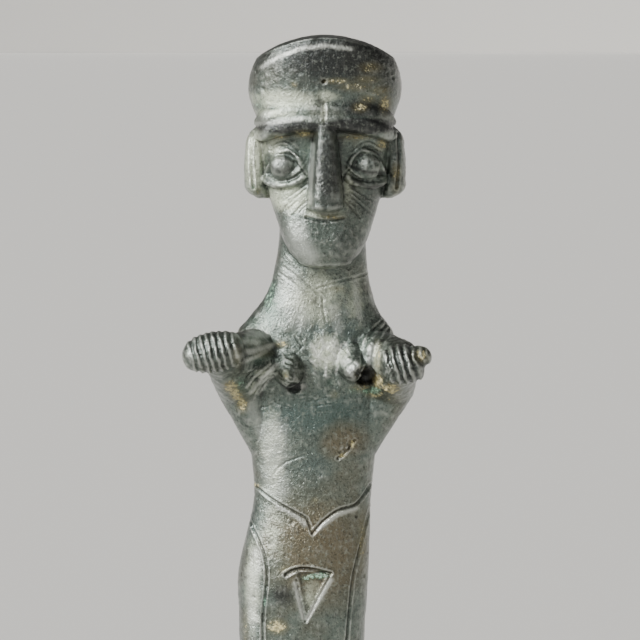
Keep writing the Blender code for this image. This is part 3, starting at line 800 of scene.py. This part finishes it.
OCHRE = (
    (-11.9, 91.2, 1.2, 1.2, 1.3),
    (-11.2, 89.8, 1.1, 1.2, 1.1),
    (-10.4, 88.2, 0.9, 1.5, 1.1),
    (10.6, 91.8, 0.9, 1.6, 1.2),
    (12.6, 91.0, 1.6, 1.2, 1.0),
    (10.3, 89.9, 1.5, 0.9, 0.9),
    (8.2, 90.7, 1.6, 0.6, 0.8),
    (10.5, 95.8, 0.6, 2.3, 0.65),
    (-3.4, 93.1, 0.4, 0.5, 0.9),
    (12.9, 89.4, 1.4, 1.2, 0.6),
    (3.9, 89.7, 0.7, 0.6, 0.6),
    (-0.8, 130.1, 1.5, 0.6, 1.0),
    (-4.6, 129.6, 1.4, 0.5, 0.7),
    (7.4, 129.6, 2.2, 0.5, 0.7),
    (11.2, 128.4, 0.9, 0.9, 0.9),
    (13.4, 124.0, 0.7, 1.4, 0.8),
    (13.4, 121.6, 0.6, 1.0, 0.6),
    (11.6, 134.6, 0.9, 1.4, 0.95),
    (7.8, 134.1, 1.2, 0.7, 0.9),
    (9.0, 135.4, 1.2, 0.7, 0.76),
    (6.9, 137.2, 2.2, 0.6, 0.74),
    (8.8, 138.3, 1.7, 0.6, 0.72),
    (9.4, 140.1, 1.6, 0.8, 0.7),
    (4.2, 138.1, 2.0, 0.45, 0.8),
    (10.8, 136.6, 1.6, 0.7, 0.74),
    (-2.2, 137.6, 0.45, 0.4, 0.9),
    (3.6, 117.4, 1.8, 0.35, 0.8),
    (-7.9, 121.2, 0.6, 0.8, 0.8),
    (17.0, 96.9, 1.3, 1.1, 0.75),
    (-10.8, 96.6, 0.6, 2.2, 0.6),
    (-4.2, 97.5, 1.0, 0.5, 0.8),
    (-7.0, 96.2, 1.4, 0.5, 0.6),
    (5.1, 80.1, 0.8, 0.4, 0.85),
    (6.8, 81.9, 0.4, 0.8, 0.85),
    (0.9, 73.2, 0.7, 0.4, 0.6),
    (-8.3, 74.9, 0.8, 0.4, 0.8),
    (-5.0, 53.1, 1.5, 1.1, 1.2),
    (-10.0, 52.6, 0.6, 3.0, 0.6),
    (8.3, 66.5, 0.6, 4.0, 0.7),
    (-3.9, 62.4, 0.6, 0.5, 0.7),
    (4.4, 106.0, 1.2, 0.5, 0.6),
)
VERDIGRIS = (
    (1.4, 61.3, 1.6, 0.45, 1.5),
    (-0.4, 60.9, 0.9, 0.5, 0.9),
    (10.2, 90.3, 0.9, 0.7, 1.3),
    (6.8, 90.2, 1.0, 0.4, 0.7),
    (3.2, 91.6, 0.6, 0.5, 0.6),
    (-7.8, 95.0, 1.2, 0.9, 0.55),
    (-6.2, 105.6, 1.2, 4.0, 0.8),
    (9.2, 90.1, 1.2, 0.5, 1.0),
    (-9.0, 100.6, 1.5, 1.0, 0.5),
    (-10.6, 91.6, 0.9, 1.4, 0.7),
    (2.0, 87.0, 6.5, 3.0, 0.3),
    (-7.6, 134.6, 0.9, 1.4, 0.6),
    (-3.0, 134.0, 3.4, 1.4, 0.4),
    (-6.9, 57.0, 0.3, 0.8, 0.9),
    (-8.4, 121.4, 0.9, 0.9, 0.6),
    (-2.6, 121.0, 2.0, 1.5, 0.4),
    (-0.4, 127.6, 1.0, 1.4, 0.5),
)
RUBBED_AND_HIGHLIGHTS = [  # painted highlights on edges and lit places, and wear on high places: points along them, half width, strength
    ([(-7.2, 140.1), (-4.8, 141.6), (-1.4, 142.9), (2.6, 143.4), (6.4, 142.9)], 0.25, 0.75),
    ([(0.7, 128.5), (0.3, 123.0), (0.2, 119.8)], 0.3, 0.6),
    ([(-8.9, 131.4), (-5.0, 132.0), (-1.0, 132.5)], 0.35, 0.5),
    ([(-2.0, 115.4), (-1.4, 113.2), (0.0, 111.4)], 1.5, 0.5),
    ([(-5.2, 84.0), (-5.6, 78.0), (-5.0, 75.0)], 1.8, 0.35),
    ([(-8.2, 64.5), (-8.8, 60.0), (-8.9, 54.0)], 0.9, 0.5),
    ([(-2.2, 60.2), (-0.9, 54.6)], 0.3, 0.7),
    ([(3.4, 60.6), (1.2, 57.0), (-0.3, 54.4)], 0.35, 0.9),
    ([(1.4, 68.6), (2.6, 69.6), (4.8, 71.0), (7.4, 71.6)], 0.3, 0.8),
    ([(-5.0, 72.1), (-2.0, 70.7), (-0.6, 69.4)], 0.25, 0.6),
    ([(-5.0, 94.4), (-7.2, 92.4), (-9.0, 90.0)], 0.3, 0.9),
    ([(-6.0, 94.6), (-8.4, 92.6), (-9.6, 91.0)], 0.2, 0.7),
    ([(-4.9, 93.2), (-6.4, 91.8), (-7.8, 89.6)], 0.2, 0.7),
    ([(-5.6, 93.3), (-7.4, 91.3), (-8.6, 88.8)], 0.2, 0.6),
    ([(-9.0, 88.4), (-8.2, 85.6), (-7.2, 83.0)], 0.9, 0.3),
    ([(9.7, 97.6), (9.2, 95.2), (9.8, 92.6)], 0.3, 0.6),
    ([(4.2, 95.6), (5.2, 94.9), (6.2, 95.4)], 0.35, 0.7),
    ([(-10.8, 96.8), (-8.4, 96.9), (-5.8, 97.3)], 0.4, 0.9),
    ([(-10.2, 95.4), (-8.0, 96.0), (-6.2, 96.8)], 0.3, 0.8),
    ([(-10.9, 98.0), (-9.4, 98.4), (-7.8, 98.0)], 0.4, 0.6),
    ([(-9.2, 99.3), (-6.6, 98.9)], 0.5, 0.5),
    ([(7.2, 107.6), (7.4, 104.6), (7.9, 101.6)], 0.5, 0.4),
    ([(-3.0, 107.5), (-2.6, 104.0), (-1.6, 101.5)], 1.7, 0.35),
    ([(3.8, 103.0), (4.6, 100.0)], 0.8, 0.3),
]
SHADED_CREASES = (  # painted shade along creases, as dark lines: points along them, half width, strength
    ([(6.3, 125.2), (8.6, 124.3), (11.6, 124.0)], 0.26, 0.95),
    ([(6.5, 123.3), (9.0, 121.9), (12.0, 122.1)], 0.26, 0.85),
    ([(6.4, 126.6), (8.6, 128.0), (11.4, 126.6)], 0.2, 0.6),
    ([(-6.2, 126.8), (-5.9, 125.2), (-4.2, 124.2), (-1.6, 125.2)], 0.2, 0.7),
    ([(-6.8, 123.2), (-4.4, 121.7), (-1.4, 122.6)], 0.2, 0.6),
    ([(-10.6, 98.4), (-9.8, 96.4), (-10.4, 94.2)], 0.4, 0.8),
    ([(10.2, 98.2), (9.2, 96.0), (9.4, 93.4)], 0.3, 0.7),
)


def dabbed(dabs):
    """How much of something the front has at each point, from dabs with soft edges."""
    amount = np.zeros(len(skin))
    for x, z, half_width, half_height, strength in dabs:
        gap = np.hypot((skin[:, 0] - x) / half_width, (skin[:, 2] - z) / half_height)
        amount = np.maximum(amount, strength * np.clip(1.5 - gap, 0, 1))
    return amount * facing


def keep(name, *columns):
    """Keeps four values for each point, for the material to read."""
    values = np.clip(np.column_stack(columns), 0, 1).astype(np.float32)
    attribute = figure.data.color_attributes.new(name, "FLOAT_COLOR", "POINT")
    attribute.data.foreach_set("color", values.ravel())


NECK_Z = 105
black_and_shade = dabbed(BLACK_AND_SHADE)
wear_and_highlight *= 1 - 0.8 * np.clip(black_and_shade, 0, 1) * (skin[:, 2] > NECK_Z)  # the head's black lies on its edges too
on_fists = (np.abs(skin[:, 0] - 0.3) > 9.5) & (skin[:, 1] < -9.0) & (skin[:, 2] < NECK_Z)
# painted shade deeper in the grooves between the fingers
crease_shade *= 1 + 0.25 * on_fists
for points, half_width, strength in SHADED_CREASES:
    crease_shade = np.maximum(crease_shade, strength * np.clip(1.5 - away_from(points) / half_width, 0, 1) * facing)
STROKES = 34
for _ in range(STROKES):  # short bright strokes on the breastbone: a painted highlight broken into streaks
    angle = dice.uniform(0, math.pi)
    x, z = 2.8 + dice.normal(0, 1.5), 96.4 + dice.normal(0, 1.5)
    reach = dice.uniform(0.3, 0.9)
    dx, dz = reach * math.cos(angle), reach * math.sin(angle)
    stroke = [(x - dx, z - dz), (x + dx, z + dz)]
    RUBBED_AND_HIGHLIGHTS.append((stroke, 0.17, dice.uniform(0.5, 0.95)))
for points, half_width, strength in RUBBED_AND_HIGHLIGHTS:
    wear_and_highlight = np.maximum(wear_and_highlight, strength * np.clip(1.5 - away_from(points) / half_width, 0, 1) * facing)
pale_and_highlight, blue, brown, ochre, verdigris = (dabbed(dabs) for dabs in (PALE_AND_HIGHLIGHTS, BLUE, BROWN, OCHRE, VERDIGRIS))
unseen = 1 - facing  # the sides and the back have the same patina in loose patches
pale_and_highlight = np.maximum(pale_and_highlight, 0.5 * unseen * np.clip(3 * ripple(8.0, 6) - 0.5, 0, 1))
brown = np.maximum(brown, 0.75 * unseen * np.clip(3 * ripple(15.0, 5), 0, 1))
black_and_shade = np.maximum(black_and_shade, 0.65 * unseen * np.clip((skin[:, 2] - 134.5) / 3, 0, 1))
black_and_shade = np.maximum(black_and_shade, 0.5 * unseen * np.clip(3 * ripple(10.0, 8) - 0.3, 0, 1))
ochre = np.maximum(ochre, 0.85 * unseen * np.clip(3 * ripple(4.0, 7) - 0.8, 0, 1))
# The first attribute holds pale patina with painted highlights and black patina with painted shade; the
# second holds
# ochre and verdigris, painted crease shade, and painted highlight with wear.
keep("patina_and_painted_light", pale_and_highlight, black_and_shade, blue, brown)
keep("deposits_and_painted_light", ochre, verdigris, crease_shade, wear_and_highlight)


# Patinated tin bronze, cast in one pour, chased cold and long buried. It is dark and half glossy under a
# thin grey-green skin with fine pits, and its deposits are matt and crusty.

def colour(code):
    """A hex sRGB colour as linear values."""
    channels = [int(code[i : i + 2], 16) / 255 for i in (1, 3, 5)]
    return (*[c / 12.92 if c <= 0.04045 else ((c + 0.055) / 1.055) ** 2.4 for c in channels], 1)


bronze = bpy.data.materials.new("patinated cast bronze")
bronze.use_nodes = True


def node(kind, feeds=None, stops=(), **settings):
    """Adds a node, sets it and feeds its sockets with values or with other nodes' outputs."""
    made = bronze.node_tree.nodes.new(kind)
    for name, value in settings.items():
        setattr(made, name, value)
    for number, (position, shade) in enumerate(stops):
        elements = made.color_ramp.elements
        element = elements[number] if number < 2 else elements.new(position)
        element.position = position
        element.color = shade if isinstance(shade, tuple) else (shade, shade, shade, 1)
    for socket, feed in (feeds or {}).items():
        if isinstance(feed, bpy.types.Node):
            feed = next(output for output in feed.outputs if output.enabled)
        if isinstance(feed, bpy.types.NodeSocket):
            bronze.node_tree.links.new(feed, made.inputs[socket])
        else:
            made.inputs[socket].default_value = feed
    return made


FACTOR, FIRST, SECOND = 0, 6, 7  # the sockets of a Mix node for colours
LOW, HIGH, AT_LOW, AT_HIGH = 1, 2, 3, 4  # the sockets of a Map Range node: what it reads, what it gives
PER_METRE = 1000.0  # a pattern's scale is this over its size in millimetres
place = node("ShaderNodeTexCoord").outputs["Object"]
clouds = {}  # noises by the size of their blotches, in millimetres
for size in (9.0, 3.0, 1.2, 0.6, 0.35):
    settings = {"Vector": place, "Scale": PER_METRE / size, "Detail": 4.0, "Roughness": 0.62}
    clouds[size] = node("ShaderNodeTexNoise", settings)
lengthwise = {"Vector": place, "Rotation": (0.1, 0.2, 0.0), "Scale": (1.0, 1.0, 0.12)}
along_body = node("ShaderNodeMapping", lengthwise)
streaks = node("ShaderNodeTexNoise", {"Vector": along_body, "Scale": PER_METRE / 0.5, "Detail": 2.0})
patina_and_painted_light = node("ShaderNodeAttribute", attribute_name="patina_and_painted_light", attribute_type="GEOMETRY")
pale_and_highlight_share, black_and_shade_share, blue_share = node(
    "ShaderNodeSeparateColor", {"Color": patina_and_painted_light.outputs["Color"]}
).outputs
brown_share = patina_and_painted_light.outputs["Alpha"]
deposits_and_painted_light = node("ShaderNodeAttribute", attribute_name="deposits_and_painted_light", attribute_type="GEOMETRY")
ochre_share, verdigris_share, crease_shade_share = node(
    "ShaderNodeSeparateColor", {"Color": deposits_and_painted_light.outputs["Color"]}
).outputs
wear_and_highlight_share = deposits_and_painted_light.outputs["Alpha"]

surface = node(
    "ShaderNodeValToRGB",
    {"Fac": clouds[9.0]},
    stops=((0.36, colour("#535e56")), (0.5, colour("#68736a")), (0.64, colour("#606458"))),
)
# The pale share brings painted highlights as well as pale patina, and the black share painted shade as well
# as black patina.
for amount, size, edge, softness, most, tint in (
    (blue_share, 3.0, 0.62, 0.9, 0.8, "#4c605f"),
    (brown_share, 3.0, 0.62, 0.9, 0.9, "#70664e"),
    (pale_and_highlight_share, 1.2, 0.66, 0.6, 0.9, "#c4cbb2"),
    (black_and_shade_share, 0.6, 0.6, 0.75, 0.93, "#1b1c1d"),
):
    broken = node("ShaderNodeMath", {0: amount, 1: clouds[size]}, operation="ADD")
    limits = {LOW: edge, HIGH: edge + softness, AT_LOW: 0.0, AT_HIGH: most}
    share = node("ShaderNodeMapRange", {"Value": broken, **limits})
    surface = node("ShaderNodeMix", {FACTOR: share, FIRST: surface, SECOND: colour(tint)}, data_type="RGBA")
calm = node("ShaderNodeMapRange", {"Value": black_and_shade_share, LOW: 0.0, HIGH: 1.0, AT_LOW: 1.0, AT_HIGH: 0.6})
for cloud, low, high, most, tint in (
    (clouds[3.0], 0.52, 0.72, 0.18, "#2b3230"),
    (clouds[1.2], 0.54, 0.7, 0.15, "#2b302d"),
    (clouds[0.6], 0.54, 0.66, 0.4, "#a3aa9d"),
    (clouds[0.35], 0.53, 0.63, 0.55, "#1a1c1c"),
    (streaks, 0.6, 0.74, 0.14, "#b4b9ad"),
):
    share = node("ShaderNodeMapRange", {"Value": cloud, LOW: low, HIGH: high, AT_LOW: 0.0, AT_HIGH: most})
    share = node("ShaderNodeMath", {0: share, 1: calm}, operation="MULTIPLY")
    surface = node("ShaderNodeMix", {FACTOR: share, FIRST: surface, SECOND: colour(tint)}, data_type="RGBA")
# painted highlight, with some wear, and painted shade in the creases
for amount, most, tint in ((wear_and_highlight_share, 0.8, "#d3d6cd"), (crease_shade_share, 0.8, "#121413")):
    share = node("ShaderNodeMath", {0: amount, 1: most}, operation="MULTIPLY")
    surface = node("ShaderNodeMix", {FACTOR: share, FIRST: surface, SECOND: colour(tint)}, data_type="RGBA")
crust = 0.0
for amount, most, dark, light in (
    (ochre_share, 0.68, "#80764a", "#d6ca94"),
    (verdigris_share, 0.66, "#426654", "#a4ccae"),
):
    stain = node("ShaderNodeMath", {0: amount, 1: 0.4}, operation="MULTIPLY")
    surface = node("ShaderNodeMix", {FACTOR: stain, FIRST: surface, SECOND: colour(dark)}, data_type="RGBA")
    speckled = node("ShaderNodeMath", {0: clouds[0.6], 1: clouds[0.35]}, operation="ADD")
    amount = node("ShaderNodeMath", {0: amount, 1: most}, operation="MULTIPLY")
    speckled = node("ShaderNodeMath", {0: speckled, 1: amount}, operation="ADD")
    spots = node("ShaderNodeMapRange", {"Value": speckled, LOW: 1.5, HIGH: 1.7, AT_LOW: 0.0, AT_HIGH: 0.9})
    limits = {LOW: 0.4, HIGH: 0.6, AT_LOW: 0.0, AT_HIGH: 1.0}
    shade = node("ShaderNodeMapRange", {"Value": clouds[1.2], **limits})
    tones = {FACTOR: shade, FIRST: colour(dark), SECOND: colour(light)}
    crumbs = node("ShaderNodeMix", tones, data_type="RGBA")
    surface = node("ShaderNodeMix", {FACTOR: spots, FIRST: surface, SECOND: crumbs}, data_type="RGBA")
    crust = node("ShaderNodeMath", {0: crust, 1: spots}, operation="MAXIMUM")

chalky = crust
for amount, weight in ((pale_and_highlight_share, 0.7), (wear_and_highlight_share, 0.45)):
    dusty = node("ShaderNodeMath", {0: amount, 1: weight}, operation="MULTIPLY")
    chalky = node("ShaderNodeMath", {0: chalky, 1: dusty}, operation="MAXIMUM")
metal = node("ShaderNodeMapRange", {"Value": chalky, LOW: 0.0, HIGH: 1.0, AT_LOW: 0.92, AT_HIGH: 0.05})
gloss = node("ShaderNodeMapRange", {"Value": clouds[1.2], LOW: 0.3, HIGH: 0.7, AT_LOW: 0.28, AT_HIGH: 0.46})
for amount, weight in ((crust, 0.4), (crease_shade_share, 0.15), (pale_and_highlight_share, 0.06)):
    dull = node("ShaderNodeMath", {0: amount, 1: weight}, operation="MULTIPLY")
    gloss = node("ShaderNodeMath", {0: gloss, 1: dull}, operation="ADD", use_clamp=True)

pores = node("ShaderNodeTexVoronoi", {"Vector": place, "Scale": PER_METRE / 0.8})
pores = node("ShaderNodeMapRange", {"Value": pores, LOW: 0.05, HIGH: 0.25, AT_LOW: 0.0, AT_HIGH: 1.0})
relief = clouds[0.35]
for layer, weight in ((clouds[1.2], 0.4), (pores, 0.25), (streaks, 0.1), (crust, 0.5)):
    layer = node("ShaderNodeMath", {0: layer, 1: weight}, operation="MULTIPLY")
    relief = node("ShaderNodeMath", {0: relief, 1: layer}, operation="ADD")
bump = node("ShaderNodeBump", {"Height": relief, "Strength": 0.7, "Distance": 0.0002})
shader = bronze.node_tree.nodes["Principled BSDF"]
shader.inputs["Coat Weight"].default_value = 0.68
shader.inputs["Coat Roughness"].default_value = 0.24
for socket, feed in (
    ("Base Color", surface),
    ("Metallic", metal),
    ("Roughness", gloss),
    ("Normal", bump),
    ("Coat Normal", bump),
):
    source = next(output for output in feed.outputs if output.enabled)
    bronze.node_tree.links.new(source, shader.inputs[socket])

figure.data.materials.clear()
figure.data.materials.append(bronze)
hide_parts("figurine")
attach(figure, "root")


# The studio: a floor and a round backdrop in pale matt paint, which gives no highlight, a soft key light
# from the upper left, a weak one from the front, and a long lens that looks a little down and frames the
# figure from the cap to the thighs.

FLOOR_RADIUS = 30.0
BACKDROP_HEIGHT = 3.0
floor_form = bmesh.new()
bmesh.ops.create_circle(floor_form, cap_ends=True, segments=96, radius=FLOOR_RADIUS)
backdrop_form = bmesh.new()
bmesh.ops.create_cone(
    backdrop_form,
    segments=192,
    radius1=FLOOR_RADIUS,
    radius2=FLOOR_RADIUS + 1.0,
    depth=BACKDROP_HEIGHT,
    matrix=Matrix.Translation((0, 0, BACKDROP_HEIGHT / 2)),
)
for name, form, shade in (
    ("studio_floor", floor_form, "#cfcdc8"),
    ("studio_backdrop", backdrop_form, "#b5b3ae"),
):
    mesh = bpy.data.meshes.new(name)
    form.to_mesh(mesh)
    form.free()
    mesh.shade_smooth()
    sheet = bpy.data.objects.new(name, mesh)
    bpy.context.scene.collection.objects.link(sheet)
    paint = bpy.data.materials.new("matt paint of the " + name)
    paint.use_nodes = True
    paint.node_tree.nodes["Principled BSDF"].inputs["Base Color"].default_value = colour(shade)
    paint.node_tree.nodes["Principled BSDF"].inputs["Roughness"].default_value = 0.9
    mesh.materials.append(paint)

LOOK_AT = Vector((0.0017, -0.003, 0.1061))
for name, toward, strength, spread_angle in (
    ("key", (-0.80, -0.50, 0.52), 7.3, 24.0),
    ("front", (0.10, -1.0, 0.75), 0.42, 40.0),
):
    lamp = bpy.data.lights.new(name, "SUN")
    lamp.energy = strength
    lamp.angle = math.radians(spread_angle)
    light = bpy.data.objects.new(name, lamp)
    light.location = toward
    light.rotation_euler = Vector(toward).to_track_quat("Z", "Y").to_euler()
    bpy.context.scene.collection.objects.link(light)
sky = bpy.data.worlds.new("studio")
sky.use_nodes = True
sky.node_tree.nodes["Background"].inputs["Color"].default_value = colour("#dcdad6")
sky.node_tree.nodes["Background"].inputs["Strength"].default_value = 0.21
bpy.context.scene.world = sky

LENS = 150.0
SENSOR = 36.0
SPAN = 0.0992  # metres across the photograph at the figure
ELEVATION = math.radians(6.0)
camera = bpy.data.cameras.new("camera")
camera.lens = LENS
camera.sensor_width = SENSOR
eye = bpy.data.objects.new("camera", camera)
away = Vector((0, -math.cos(ELEVATION), math.sin(ELEVATION)))
eye.location = LOOK_AT + away * SPAN * LENS / SENSOR
eye.rotation_euler = (-away).to_track_quat("-Z", "Y").to_euler()
bpy.context.scene.collection.objects.link(eye)
bpy.context.scene.camera = eye
